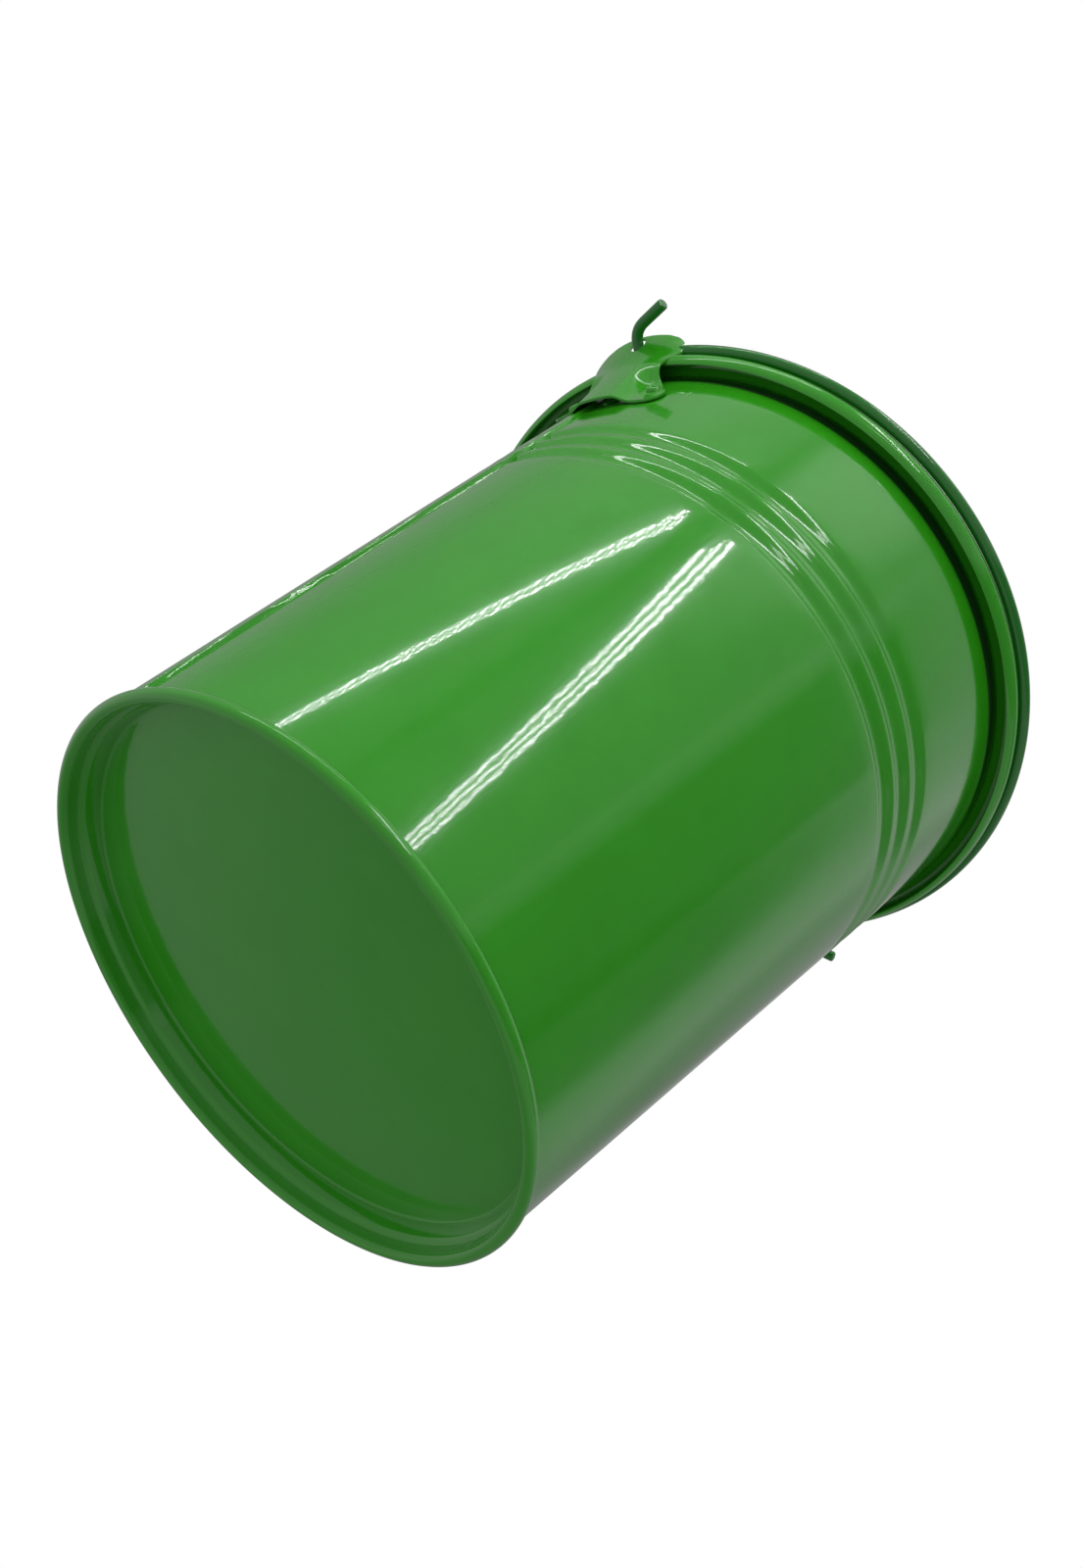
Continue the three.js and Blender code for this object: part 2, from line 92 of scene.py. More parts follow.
class BucketShape(bpy.types.PropertyGroup):
    """Sizes of the sheet metal, its seams, grooves, rolled mouth and recess."""

    sheet: bpy.props.FloatProperty(
        name="Sheet", description="Thickness of the painted steel sheet",
        default=0.45 * MM, min=0.2 * MM, max=1.5 * MM, unit="LENGTH", subtype="DISTANCE")
    taper: bpy.props.FloatProperty(
        name="Taper", description="Radius that the wall gains for each unit of height",
        default=0.1258, min=0.0, max=0.5)
    seam_stand_off: bpy.props.FloatProperty(
        name="Chime stand-off", description="How far the bottom seam stands outside the foot of the wall",
        default=1.17 * MM, min=0.0, max=4 * MM, unit="LENGTH", subtype="DISTANCE")
    curl_radius: bpy.props.FloatProperty(
        name="Curl radius", description="Outer radius of the rolled mouth",
        default=2.5 * MM, min=1 * MM, max=6 * MM, unit="LENGTH", subtype="DISTANCE")
    curl_lip_angle: bpy.props.FloatProperty(
        name="Curl lip", description="How far the roll goes on below level",
        default=math.radians(67), min=0.0, max=math.radians(170), unit="ROTATION", subtype="ANGLE")
    groove_depth: bpy.props.FloatProperty(
        name="Groove depth", description="Depth of the rolled grooves",
        default=0.76 * MM, min=0.0, max=3 * MM, unit="LENGTH", subtype="DISTANCE")
    groove_width: bpy.props.FloatProperty(
        name="Groove width", description="Width of one rolled groove",
        default=5.85 * MM, min=1 * MM, max=8 * MM, unit="LENGTH", subtype="DISTANCE")
    groove_pitch: bpy.props.FloatProperty(
        name="Groove pitch", description="Spacing of the rolled grooves",
        default=5.85 * MM, min=2 * MM, max=15 * MM, unit="LENGTH", subtype="DISTANCE")
    groove_below_mouth: bpy.props.FloatProperty(
        name="Grooves below mouth", description="Top groove below the middle of the rolled mouth",
        default=31.1 * MM, min=5 * MM, max=90 * MM, unit="LENGTH", subtype="DISTANCE")
    seam_height: bpy.props.FloatProperty(
        name="Seam height", description="How far the lock seam stands out of the wall",
        default=0.6 * MM, min=0.0, max=2 * MM, unit="LENGTH", subtype="DISTANCE")
    seam_width: bpy.props.FloatProperty(
        name="Seam width", description="Width of the lock seam",
        default=3.2 * MM, min=1 * MM, max=10 * MM, unit="LENGTH", subtype="DISTANCE")
    recess: bpy.props.FloatProperty(
        name="Recess", description="Height of the bottom panel above the floor",
        default=6.1 * MM, min=1 * MM, max=15 * MM, unit="LENGTH", subtype="DISTANCE")


class BucketPaint(bpy.types.PropertyGroup):
    """Colours and gloss of the enamel."""

    wall: bpy.props.FloatVectorProperty(
        name="Wall", description="Enamel on the wall and the ears",
        default=linear("#33a319"), size=4, min=0.0, max=1.0, subtype="COLOR")
    bottom: bpy.props.FloatVectorProperty(
        name="Bottom", description="Enamel on the recessed bottom",
        default=linear("#33a319"), size=4, min=0.0, max=1.0, subtype="COLOR")
    # The handle's deeper green is partly its own paint and partly painted shade for a handle that stands
    # against the light.
    wire: bpy.props.FloatVectorProperty(
        name="Wire", description="Enamel on the handle",
        default=linear("#1c7a22"), size=4, min=0.0, max=1.0, subtype="COLOR")
    gloss: bpy.props.FloatProperty(
        name="Roughness", description="Roughness of the enamel's body",
        default=0.17, min=0.02, max=1.0, subtype="FACTOR")


# ---- Materials ----


def add_node(tree, kind, settings=None, links=None):
    """Adds a node, sets its attributes or input values by name, and links its inputs."""
    node = tree.nodes.new(kind)
    for name, value in (settings or {}).items():
        if isinstance(name, str) and hasattr(node, name):
            setattr(node, name, value)
        else:
            node.inputs[name].default_value = value
    for name, source in (links or {}).items():
        tree.links.new(source, node.inputs[name])
    return node


def enamel(name, colour, roughness, peel, peel_depth, coat_roughness=0.05):
    """Stoved enamel on steel: deep even colour under a hard clear gloss.

    The slow ripple of the film, orange peel, is what breaks up the edges of a highlight. The colour is a
    little lighter where the film is thin and a little deeper where it gathered.
    """
    material = bpy.data.materials.new(name)
    material.use_nodes = True
    tree = material.node_tree
    tree.nodes.clear()
    place = add_node(tree, "ShaderNodeTexCoord").outputs["Object"]
    film = add_node(tree, "ShaderNodeTexNoise", {"Scale": 1 / (9 * MM), "Detail": 3.0}, {"Vector": place})
    tone = add_node(tree, "ShaderNodeValToRGB", links={"Fac": film.outputs["Fac"]})
    deep, thin = tone.color_ramp.elements
    deep.position, thin.position = 0.3, 0.7
    deep.color = [c * 0.97 for c in colour[:3]] + [1.0]
    thin.color = [min(1.0, c * 1.03) for c in colour[:3]] + [1.0]
    # Orange peel is about a millimetre or two from crest to crest.
    ripple = add_node(tree, "ShaderNodeTexNoise", {"Scale": 1 / peel, "Detail": 2.0, "Roughness": 0.45},
                      {"Vector": place})
    # Dust under the film, a tenth of a millimetre in life, is drawn at half a millimetre so that it shows.
    dust = add_node(tree, "ShaderNodeTexVoronoi", {"Scale": 1 / (7 * MM), "Randomness": 1.0},
                    {"Vector": place})
    speck = add_node(tree, "ShaderNodeMapRange",
                     {"From Min": 0.02, "From Max": 0.05, "To Min": 1.0, "To Max": 0.0},
                     {"Value": dust.outputs["Distance"]})
    peel_bump = add_node(tree, "ShaderNodeBump", {"Strength": 1.0, "Distance": peel_depth},
                         {"Height": ripple.outputs["Fac"]})
    speck_bump = add_node(tree, "ShaderNodeBump", {"Strength": 0.35, "Distance": 0.03 * MM},
                          {"Height": speck.outputs["Result"], "Normal": peel_bump.outputs["Normal"]})
    gloss = add_node(tree, "ShaderNodeMapRange",
                     {"From Min": 0.35, "From Max": 0.65,
                      "To Min": roughness * 0.9, "To Max": roughness * 1.12},
                     {"Value": film.outputs["Fac"]})
    surface = add_node(
        tree, "ShaderNodeBsdfPrincipled",
        {"Metallic": 0.0, "IOR": 1.5, "Specular IOR Level": 0.2, "Coat Weight": 1.0,
         "Coat Roughness": coat_roughness, "Coat IOR": 1.5},
        {"Base Color": tone.outputs["Color"], "Roughness": gloss.outputs["Result"],
         "Normal": speck_bump.outputs["Normal"], "Coat Normal": peel_bump.outputs["Normal"]})
    add_node(tree, "ShaderNodeOutputMaterial", links={"Surface": surface.outputs["BSDF"]})
    return material


def ramp(tree, value, low, high):
    """0 below a value and 1 above another, or the other way round, with a soft step between."""
    return add_node(tree, "ShaderNodeMapRange",
                    {"interpolation_type": "SMOOTHSTEP", "From Min": low, "From Max": high, "To Min": 0.0,
                     "To Max": 1.0}, {"Value": value}).outputs["Result"]


def paint_shade_into_slot(material):
    """Paints shade into the narrow slot between the wall and the rolled mouth, so that it looks deep: a dark
    green in the colour stands in for the shadow there.

    The slot is what lies outside the wall, inside the middle of the roll and below it, so the rim and
    the inside of the bucket keep the full colour.
    """
    shape = bpy.context.scene.bucket_shape
    tree = material.node_tree
    surface = next(node for node in tree.nodes if node.type == "BSDF_PRINCIPLED")
    paint = surface.inputs["Base Color"].links[0].from_socket
    place = add_node(tree, "ShaderNodeTexCoord").outputs["Object"]
    axes = add_node(tree, "ShaderNodeSeparateXYZ", links={0: place})
    height = axes.outputs["Z"]
    flat = add_node(tree, "ShaderNodeCombineXYZ", links={"X": axes.outputs["X"], "Y": axes.outputs["Y"]})
    radius = add_node(tree, "ShaderNodeVectorMath", {"operation": "LENGTH"},
                      {0: flat.outputs[0]}).outputs["Value"]
    # Taking the taper away from the radius leaves one number for the whole outside of the wall.
    upright = add_node(tree, "ShaderNodeMath", {"operation": "MULTIPLY_ADD", 1: -shape.taper},
                       {0: height, 2: radius}).outputs[0]
    (centre_radius, centre_height), _, _ = curl_frame()
    outside = wall_radius(0.0)
    # Mask of the painted shade: the slot outside the wall and under the middle of the rolled mouth.
    slot = ramp(tree, height, centre_height - 3.7 * MM, centre_height - 2.5 * MM)
    for mask in (ramp(tree, height, centre_height + 0.5 * MM, centre_height - 0.3 * MM),
                 ramp(tree, upright, outside - 0.2 * MM, outside - 0.06 * MM),
                 ramp(tree, radius, centre_radius + 0.1 * MM, centre_radius - 0.9 * MM)):
        slot = add_node(tree, "ShaderNodeMath", {"operation": "MULTIPLY"}, {0: slot, 1: mask}).outputs[0]
    # Painted shade: inside the mask the paint is mixed toward a dark green that stands in for the shadow in
    # the slot.
    colour = add_node(tree, "ShaderNodeMix", {"data_type": "RGBA"})
    tree.links.new(slot, colour.inputs["Factor"])
    tree.links.new(paint, colour.inputs[6])
    colour.inputs[7].default_value = linear("#0c2a0f")
    tree.links.new(colour.outputs[2], surface.inputs["Base Color"])


def wall_enamel():
    """Green stoved enamel on rolled sheet: clear long highlights with a faint ripple."""
    paint = bpy.context.scene.bucket_paint
    material = enamel("stoved_enamel_on_rolled_steel", list(paint.wall), paint.gloss, 2.2 * MM, 0.012 * MM)
    # Painted shade: the slot under the rolled mouth is coloured dark.
    paint_shade_into_slot(material)
    return material


def bottom_enamel():
    """The same enamel on the pressed bottom, a little rougher and with a wider ripple."""
    paint = bpy.context.scene.bucket_paint
    return enamel("stoved_enamel_on_pressed_steel", list(paint.bottom), paint.gloss * 1.1, 3 * MM, 0.012 * MM)


def ear_enamel():
    """The same enamel on the stamped ears, with the tighter ripple of a small stamping."""
    paint = bpy.context.scene.bucket_paint
    return enamel("stoved_enamel_on_stamped_steel", list(paint.wall), paint.gloss, 1.6 * MM, 0.012 * MM)


def rivet_enamel():
    """Enamel over a rivet head, a little smoother and with a finer ripple than on the sheet."""
    paint = bpy.context.scene.bucket_paint
    return enamel("stoved_enamel_on_rivet_steel", list(paint.wall), paint.gloss * 0.9, 1.2 * MM, 0.008 * MM)


def wire_enamel():
    """Enamel on drawn wire: a deeper green than the sheet, with thin broken highlights. The deeper green is
    partly the wire's own paint and partly painted shade for a handle that stands against the light.
    """
    paint = bpy.context.scene.bucket_paint
    return enamel("stoved_enamel_on_drawn_wire", list(paint.wire), paint.gloss, 1.4 * MM, 0.01 * MM)


# ---- Meshes ----


def smoothstep(low, high, value):
    """Rises smoothly from 0 at low to 1 at high."""
    share = min(max((value - low) / (high - low), 0.0), 1.0)
    return share * share * (3 - 2 * share)


def wall_radius(height):
    """Outside of the plain wall at a height."""
    shape = bpy.context.scene.bucket_shape
    return CHIME_RADIUS - shape.seam_stand_off + shape.taper * height


def arc(centre, radius, start, end, steps):
    """Points (radius, height) on an arc, both ends included."""
    angles = [start + (end - start) * i / steps for i in range(steps + 1)]
    return [(centre[0] + radius * math.cos(a), centre[1] + radius * math.sin(a)) for a in angles]


def grid_faces(mesh, rows, around, close_rows=False):
    """Joins rows of vertices into quads; around says that each row closes on itself."""
    row_pairs = list(zip(rows, rows[1:] + rows[:1] if close_rows else rows[1:]))
    for row, following in row_pairs[:len(rows) if close_rows else len(rows) - 1]:
        count = len(row)
        for i in range(count if around else count - 1):
            j = (i + 1) % count
            mesh.faces.new((row[i], row[j], following[j], following[i]))


def object_from(mesh, name, material, node, body, smooth_angle=40):
    """Makes an object of a bmesh, smooth up to an angle, and ties it to its node and body."""
    bmesh.ops.remove_doubles(mesh, verts=mesh.verts, dist=1e-7)
    bmesh.ops.recalc_face_normals(mesh, faces=mesh.faces)
    data = bpy.data.meshes.new(name)
    mesh.to_mesh(data)
    mesh.free()
    data.shade_smooth()
    data.set_sharp_from_angle(angle=math.radians(smooth_angle))
    piece = bpy.data.objects.new(name, data)
    bpy.context.scene.collection.objects.link(piece)
    data.materials.append(material)
    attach(piece, body)
    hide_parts(node)
    return piece


# ---- Shell: wall, grooves, lock seam and rolled mouth ----

GROOVE_COUNT = 3
SEAM_PLACE = math.pi - math.radians(5)
SHELL_FOOT = 1.1 * MM


def curl_frame():
    """Centre of the rolled mouth, and the angle and height at which the wall runs into it."""
    shape = bpy.context.scene.bucket_shape
    centre_height = MOUTH_TOP - shape.curl_radius
    start = math.pi - math.atan(shape.taper)
    start_height = centre_height + shape.curl_radius * math.sin(start)
    inside = wall_radius(start_height) - CAD_SHEET
    centre_radius = inside + shape.curl_radius * math.cos(math.atan(shape.taper))
    centre_radius = min(centre_radius, MOUTH_RADIUS - shape.curl_radius)
    return (centre_radius, centre_height), start, start_height


def groove_middles():
    """Heights of the rolled grooves, from the lowest."""
    shape = bpy.context.scene.bucket_shape
    (_, centre_height), _, _ = curl_frame()
    top = centre_height - shape.groove_below_mouth
    return [top - shape.groove_pitch * i for i in reversed(range(GROOVE_COUNT))]


def groove_dip(height):
    """How far a groove draws the wall in at a height."""
    shape = bpy.context.scene.bucket_shape
    nearest = min(abs(height - middle) for middle in groove_middles())
    share = nearest / (shape.groove_width / 2)
    return shape.groove_depth * (1 + math.cos(math.pi * share)) / 2 if share < 1 else 0.0


def wall_heights():
    """Heights of the wall's rings: close together in the grooves, wide apart elsewhere."""
    shape = bpy.context.scene.bucket_shape
    (_, _), _, start_height = curl_frame()
    middles = groove_middles()
    heights = [SHELL_FOOT + (middles[0] - shape.groove_width - SHELL_FOOT) * i / 24 for i in range(25)]
    for middle in middles:
        heights += [middle + shape.groove_width * (i / 16 - 0.5) for i in range(17)]
    last = middles[-1] + shape.groove_width
    heights += [last + (start_height - last) * i / 12 for i in range(13)]
    return sorted(heights)


def seam_rise(turn, height):
    """How far the lock seam stands out: a crisp fold on one side and a soft one on the other."""
    shape = bpy.context.scene.bucket_shape
    across = (turn - SEAM_PLACE) * wall_radius(height)
    half = shape.seam_width / 2
    crisp = smoothstep(half + 0.1 * MM, half - 0.1 * MM, across)
    soft = smoothstep(-half - 0.5 * MM, -half + 0.3 * MM, across)
    crease = smoothstep(half, half + 0.12 * MM, across) * smoothstep(half + 0.6 * MM, half + 0.3 * MM, across)
    (_, centre_height), _, _ = curl_frame()
    lip = centre_height - shape.curl_radius
    ends = smoothstep(lip - 1 * MM, lip - 7 * MM, height)
    return (shape.seam_height * crisp * soft - 0.3 * MM * crease) * ends


def seam_turns(steps):
    """Angles round the bucket, with extra ones across the lock seam."""
    shape = bpy.context.scene.bucket_shape
    turns = [2 * math.pi * i / steps for i in range(steps)]
    reach = 1.2 * shape.seam_width
    count = 48
    for i in range(count + 1):
        turns.append(SEAM_PLACE + reach * (i / count - 0.5) * 2 / wall_radius(60 * MM))
    return sorted(set(round(turn, 7) for turn in turns))


class BUCKET_OT_shell(bpy.types.Operator):
    """Build the tapered wall with its grooves, lock seam and rolled mouth"""

    bl_idname = "bucket.shell"
    bl_label = "Build Shell"

    def execute(self, context):
        shape = context.scene.bucket_shape
        centre, start, _ = curl_frame()
        lip = -shape.curl_lip_angle
        thick = shape.sheet
        wall = [(z, "outside") for z in wall_heights()]
        under = arc(centre, shape.curl_radius - thick, start, lip, 30)[1:]
        edge = arc((centre[0] + (shape.curl_radius - thick / 2) * math.cos(lip),
                    centre[1] + (shape.curl_radius - thick / 2) * math.sin(lip)),
                   thick / 2, lip + math.pi, lip + 2 * math.pi, 4)[1:-1]
        edge = [(2 * (centre[0] + (shape.curl_radius - thick / 2) * math.cos(lip)) - r,
                 2 * (centre[1] + (shape.curl_radius - thick / 2) * math.sin(lip)) - z) for r, z in edge]
        over = arc(centre, shape.curl_radius, lip, start, 30)
        mesh = bmesh.new()
        columns = []
        for turn in seam_turns(216):
            column = []
            for z, _ in wall:
                rise = seam_rise(turn, z)
                dip = groove_dip(z) * (1 - 0.65 * max(0.0, rise) / shape.seam_height)
                column.append((wall_radius(z) - dip + rise, z))
            column += under + edge + over
            column += [(wall_radius(z) - groove_dip(z) - thick, z) for z, _ in reversed(wall)]
            columns.append([mesh.verts.new((r * math.cos(turn), r * math.sin(turn), z)) for r, z in column])
        grid_faces(mesh, columns, around=True, close_rows=True)
        object_from(mesh, "wall_shell", wall_enamel(), "body_shell", "bucket")
        return {"FINISHED"}


# ---- Bottom: recessed panel and the seam it stands on ----


class BUCKET_OT_bottom(bpy.types.Operator):
    """Build the recessed bottom with the seam that stands on the floor"""

    bl_idname = "bucket.bottom"
    bl_label = "Build Bottom"

    def execute(self, context):
        shape = context.scene.bucket_shape
        bead = 1.15 * MM
        corner = 0.5 * MM
        seat = CHIME_RADIUS - 0.05 * MM - bead
        panel = CHIME_RADIUS - 4.25 * MM
        tight = 0.05 * MM
        quarter = math.pi / 2
        outline = [(0.0, shape.recess), (panel * 0.5, shape.recess), (panel - 0.4 * MM, shape.recess)]
        outline += arc((panel, shape.recess - corner), corner, quarter, 0, 6)
        # A small step in the recess, where the folded edge of the wall ends behind the panel.
        step_foot, step_head = 2.6 * MM, 3.3 * MM
        outline += [(panel + corner + 0.45 * MM, step_head + 0.1 * MM),
                    (panel + corner + 0.55 * MM, step_head - 0.1 * MM),
                    (seat - bead - 0.22 * MM, step_foot + 0.22 * MM),
                    (seat - bead - 0.06 * MM, step_foot + 0.1 * MM),
                    (seat - bead, step_foot - 0.15 * MM)]
        outline += arc((seat, bead), bead, 2 * quarter, 4 * quarter, 22)
        outline += arc((seat, bead), bead, 0, math.radians(62), 8)[1:]
        lip_height = bead * (1 + math.sin(math.radians(62)))
        outline += [(wall_radius(lip_height) + tight, lip_height - 0.1 * MM),
                    (wall_radius(lip_height) + tight, SHELL_FOOT - 0.2 * MM),
                    (wall_radius(SHELL_FOOT) - shape.sheet - tight, SHELL_FOOT - 0.2 * MM)]
        fillet = 1.2 * MM
        inside = wall_radius(shape.recess) - shape.sheet - tight
        outline += arc((inside - fillet, shape.recess + shape.sheet + fillet), fillet, 0, -quarter, 6)
        outline += [(inside - 2 * fillet, shape.recess + shape.sheet), (0.0, shape.recess + shape.sheet)]
        mesh = bmesh.new()
        steps = 240
        rows = []
        for i in range(steps):
            turn = 2 * math.pi * i / steps
            rows.append([mesh.verts.new((r * math.cos(turn), r * math.sin(turn), z)) for r, z in outline])
        grid_faces(mesh, rows, around=False, close_rows=True)
        bmesh.ops.remove_doubles(mesh, verts=mesh.verts, dist=1e-6)
        object_from(mesh, "recessed_bottom", bottom_enamel(), "base_disc", "bucket", 50)
        return {"FINISHED"}


# ---- Ears ----


EAR_FOOT_CORNER = 4.2 * MM
EAR_WAIST = 9 * MM
EAR_HEAD = 11.7 * MM


def ear_half_width(height):
    """Half the width of an ear at a height: wide feet, a waist and a wide head."""
    above = height - EAR_FOOT_HEIGHT
    below = EAR_HEAD_HEIGHT - height
    width = EAR_HALF_WIDTH + (EAR_WAIST - EAR_HALF_WIDTH) * smoothstep(4.6 * MM, 12.6 * MM, above)
    width += (EAR_HEAD - EAR_WAIST) * smoothstep(13.2 * MM, 19 * MM, above)
    if above < EAR_FOOT_CORNER:
        gone = 1 - above / EAR_FOOT_CORNER
        width -= EAR_FOOT_CORNER * (1 - math.sqrt(max(0.0, 1 - gone * gone)))
    head_round = 2.6 * MM
    if below < head_round:
        gone = 1 - below / head_round
        width -= 1.7 * head_round * (1 - math.sqrt(max(0.0, 1 - gone * gone)))
    return width


EAR_CURVE_OFFSET = 28 * MM
EAR_ARCH = 1.8 * MM
EAR_FLARE = math.radians(29)
FOOT_INNER = 8.3 * MM
FOOT_TOP = 9 * MM


def ear_surface(across, height):
    """Outer face of an ear on the +X side, at a place across and a height."""
    sheet = CAD_SHEET
    (_, centre_height), _, _ = curl_frame()
    crease_height = centre_height - 2.8 * MM + 2.4 * MM * (across / (9 * MM)) ** 2
    foot = wall_radius(EAR_FOOT_HEIGHT) + EAR_ARCH + sheet
    crease = MOUTH_RADIUS - sheet / 2
    low_crease = centre_height - 2.8 * MM
    slope = (crease - foot) / (low_crease - EAR_FOOT_HEIGHT)
    along = foot + slope * (height - EAR_FOOT_HEIGHT)
    soft = 1.2 * MM
    past = height - crease_height
    bend = (past + math.sqrt(past * past + soft * soft)) / 2
    radius = along + bend * (math.tan(EAR_FLARE) - slope) - EAR_CURVE_OFFSET
    face = EAR_CURVE_OFFSET + math.sqrt(radius * radius - across * across)
    pad_radius = wall_radius(height) + CAD_GAP + sheet
    pad = math.sqrt(pad_radius * pad_radius - across * across)
    on_foot = smoothstep(FOOT_INNER - 4.5 * MM, FOOT_INNER + 0.3 * MM, abs(across))
    on_foot *= smoothstep(FOOT_TOP + 4.5 * MM, FOOT_TOP - 0.6 * MM, height - EAR_FOOT_HEIGHT)
    return face + (pad - face) * on_foot


def ear_mesh():
    """Both faces of a stamped ear, joined round their edge."""
    mesh = bmesh.new()
    rows_up = 64
    columns = 72
    layers = []
    for layer in range(2):
        rows = []
        for i in range(rows_up + 1):
            height = EAR_FOOT_HEIGHT + (EAR_HEAD_HEIGHT - EAR_FOOT_HEIGHT) * i / rows_up
            half = ear_half_width(height)
            row = []
            for j in range(columns + 1):
                across = half * (2 * j / columns - 1)
                x = ear_surface(across, height) - layer * CAD_SHEET
                row.append(mesh.verts.new((x, across, height)))
            rows.append(row)
        layers.append(rows)
    for rows in layers:
        grid_faces(mesh, rows, around=False)
    rims = []
    for rows in layers:
        rim = rows[0][:-1] + [row[-1] for row in rows[:-1]]
        rim += list(reversed(rows[-1][1:])) + [row[0] for row in reversed(rows[1:])]
        rims.append(rim)
    grid_faces(mesh, rims, around=True)
    return mesh


def cut_hole(piece, radius):
    """Cuts the hole for the handle wire through an ear that stands on the +X side."""
    cutter_mesh = bmesh.new()
    bmesh.ops.create_cone(
        cutter_mesh, cap_ends=True, segments=48, radius1=radius, radius2=radius, depth=20 * MM)
    turn = Matrix.Translation((MOUTH_RADIUS + 3 * MM, 0, PIVOT_HEIGHT)) @ Matrix.Rotation(math.pi / 2, 4, "Y")
    bmesh.ops.transform(cutter_mesh, matrix=turn, verts=cutter_mesh.verts)
    data = bpy.data.meshes.new("hole_cutter")
    cutter_mesh.to_mesh(data)
    cutter_mesh.free()
    cutter = bpy.data.objects.new("hole_cutter", data)
    bpy.context.scene.collection.objects.link(cutter)
    modifier = piece.modifiers.new("hole", "BOOLEAN")
    modifier.object = cutter
    modifier.operation = "DIFFERENCE"
    modifier.solver = "EXACT"
    bevel = piece.modifiers.new("soft_edges", "BEVEL")
    bevel.width = 0.12 * MM
    bevel.segments = 3
    bevel.limit_method = "ANGLE"
    bevel.angle_limit = math.radians(50)
    bevel.harden_normals = False
    evaluated = piece.evaluated_get(bpy.context.evaluated_depsgraph_get())
    finished = bpy.data.meshes.new_from_object(evaluated)
    piece.modifiers.clear()
    piece.data = finished
    bpy.data.objects.remove(cutter, do_unlink=True)


class BUCKET_OT_ears(bpy.types.Operator):
    """Build the two stamped ears that carry the handle"""

    bl_idname = "bucket.ears"
    bl_label = "Build Ears"

    def execute(self, context):
        material = ear_enamel()
        for side, node in ((1, "ear_right"), (-1, "ear_left")):
            mesh = ear_mesh()
            piece = object_from(mesh, f"stamped_{node}", material, node, "bucket", 35)
            cut_hole(piece, WIRE_RADIUS + 0.55 * MM)
            if side < 0:
                piece.data.transform(Matrix.Rotation(math.pi, 4, "Z"))
            piece.data.shade_smooth()
            piece.data.set_sharp_from_angle(angle=math.radians(35))
        return {"FINISHED"}


# ---- Rivets ----


class BUCKET_OT_rivets(bpy.types.Operator):
    """Build the rivet in each foot of each ear"""

    bl_idname = "bucket.rivets"
    bl_label = "Build Rivets"

    def execute(self, context):
        material = rivet_enamel()
        head = 1.55 * MM
        rise = 0.7 * MM
        shank = 0.9 * MM
        for node in ("rivet_left_front", "rivet_left_back", "rivet_right_front", "rivet_right_back"):
            low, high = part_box(node)
            middle = (Vector(low) + Vector(high)) / 2
            turn = math.atan2(middle.y, middle.x)
            height = middle.z
            face = CAD_GAP + CAD_SHEET + 0.02 * MM
            tail = -CAD_SHEET - 0.02 * MM
            outline = [(0.0, tail - 0.5 * rise)]
            outline += [(head * math.sin(a), tail - 0.5 * rise * math.cos(a)) for a in
                        [math.pi / 2 * i / 8 for i in range(1, 9)]]
            outline += [(shank, tail), (shank, face), (head, face)]
            # The setting tool leaves a rounded ring with a dimple in its middle.
            crest = 0.9 * MM
            outline += [(head, face + 0.1 * MM), (head - 0.12 * MM, face + 0.2 * MM)]
            outline += [(crest + 0.5 * MM * math.cos(a), face + 0.2 * MM + (rise - 0.2 * MM) * math.sin(a))
                        for a in [math.pi * i / 12 for i in range(1, 12)]]
            outline += [(crest - 0.5 * MM, face + 0.2 * MM), (0.2 * MM, face + 0.16 * MM),
                        (0.0, face + 0.15 * MM)]
            mesh = bmesh.new()
            rows = []
            steps = 40
            for i in range(steps):
                a = 2 * math.pi * i / steps
                rows.append([mesh.verts.new((x, r * math.cos(a), r * math.sin(a))) for r, x in outline])
            grid_faces(mesh, rows, around=False, close_rows=True)
            tilt = Matrix.Rotation(math.atan(context.scene.bucket_shape.taper), 4, "Y")
            seat = Matrix.Translation((wall_radius(height), 0, height))
            place = Matrix.Rotation(turn, 4, "Z") @ seat @ tilt
            bmesh.ops.transform(mesh, matrix=place, verts=mesh.verts)
            object_from(mesh, f"painted_{node}", material, node, "bucket")
        return {"FINISHED"}


# ---- Handle ----


def bend_points(before, corner, after, steps=10):
    """Points round a bend that leaves one straight for the next, without its two ends."""
    shares = [i / steps for i in range(1, steps)]
    return [before * (1 - t) ** 2 + corner * 2 * t * (1 - t) + after * t * t for t in shares]


def handle_route():
    """Centre line of the handle: hook, bend, bow, bend, hook, all in the plane of the pivot."""
    bend = 2.5 * MM
    reach = 5.7 * MM
    hook_length = 9.4 * MM
    splay = math.radians(23)
    bow = -WIRE_LOW[1] - WIRE_RADIUS
    corner_x = bow + reach
    leg = math.asin(bend / bow)
    half = []
    corner = Vector((corner_x, 0, PIVOT_HEIGHT))
    out = Vector((math.sin(splay), -math.cos(splay), 0))
    tip = corner + out * hook_length
    hook_bend = 3.3 * MM
    before = corner + out * hook_bend
    after = corner - Vector((hook_bend, 0, 0))
    leg_corner = Vector((bow, 0, PIVOT_HEIGHT))
    run_end = leg_corner + Vector((bend, 0, 0))
    leg_start = Vector((bow * math.cos(leg), -bow * math.sin(leg), PIVOT_HEIGHT))
    half += [tip, (tip + before) / 2, before] + bend_points(before, corner, after) + [after]
    half += [run_end] + bend_points(run_end, leg_corner, leg_start)
    steps = 160
    arc_points = []
    for i in range(steps + 1):
        a = leg + (math.pi - 2 * leg) * i / steps
        arc_points.append(Vector((bow * math.cos(a), -bow * math.sin(a), PIVOT_HEIGHT)))
    mirrored = [Vector((-p.x, p.y, p.z)) for p in reversed(half)]
    return half + arc_points + mirrored


